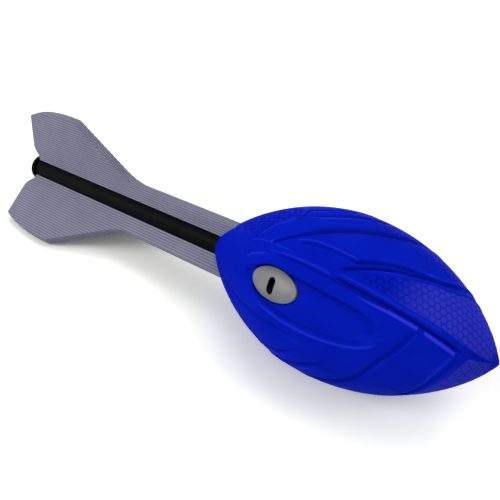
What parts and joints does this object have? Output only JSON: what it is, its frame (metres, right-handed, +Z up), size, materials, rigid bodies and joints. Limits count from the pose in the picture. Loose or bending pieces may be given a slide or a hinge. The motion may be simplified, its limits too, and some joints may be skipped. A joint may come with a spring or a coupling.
{
  "type": "vortex throwing toy",
  "caption": "Foam throwing toy of football shape on a straight tail tube with foam fins, and whistles set into its sides.",
  "frame": {"origin": "centre of the toy's bounding box, on the surface it lies on", "axes": "+X from the tail to the nose along the surface, +Z up through the upper fin, -Y towards the right-hand whistle"},
  "size_m": [0.3144, 0.085, 0.0843],
  "materials": {
    "foam_blue": "moulded foam skin, satin, deep blue",
    "foam_grey": "ribbed foam sheet, matte, blue-grey",
    "plastic_black": "extruded plastic, satin black",
    "plastic_grey": "moulded plastic, satin grey",
    "plastic_inner": "moulded plastic, black, hidden",
    "plastic_natural": "moulded plastic, uncoloured, hidden",
    "steel": "drawn steel pin, hidden"
  },
  "bodies": {
    "root": {"foam_body": "foam_blue", "tail_tube": "plastic_black", "end_cap": "plastic_black", "tube_anchor": "plastic_natural", "anchor_pin": "steel", "fin_upper": "foam_grey", "fin_lower_right": "foam_grey", "fin_lower_left": "foam_grey", "whistle_face_right": "plastic_grey", "whistle_face_under": "plastic_grey", "whistle_face_left": "plastic_grey", "whistle_cup_right": "plastic_inner", "whistle_cup_under": "plastic_inner", "whistle_cup_left": "plastic_inner"}
  },
  "joints": []
}
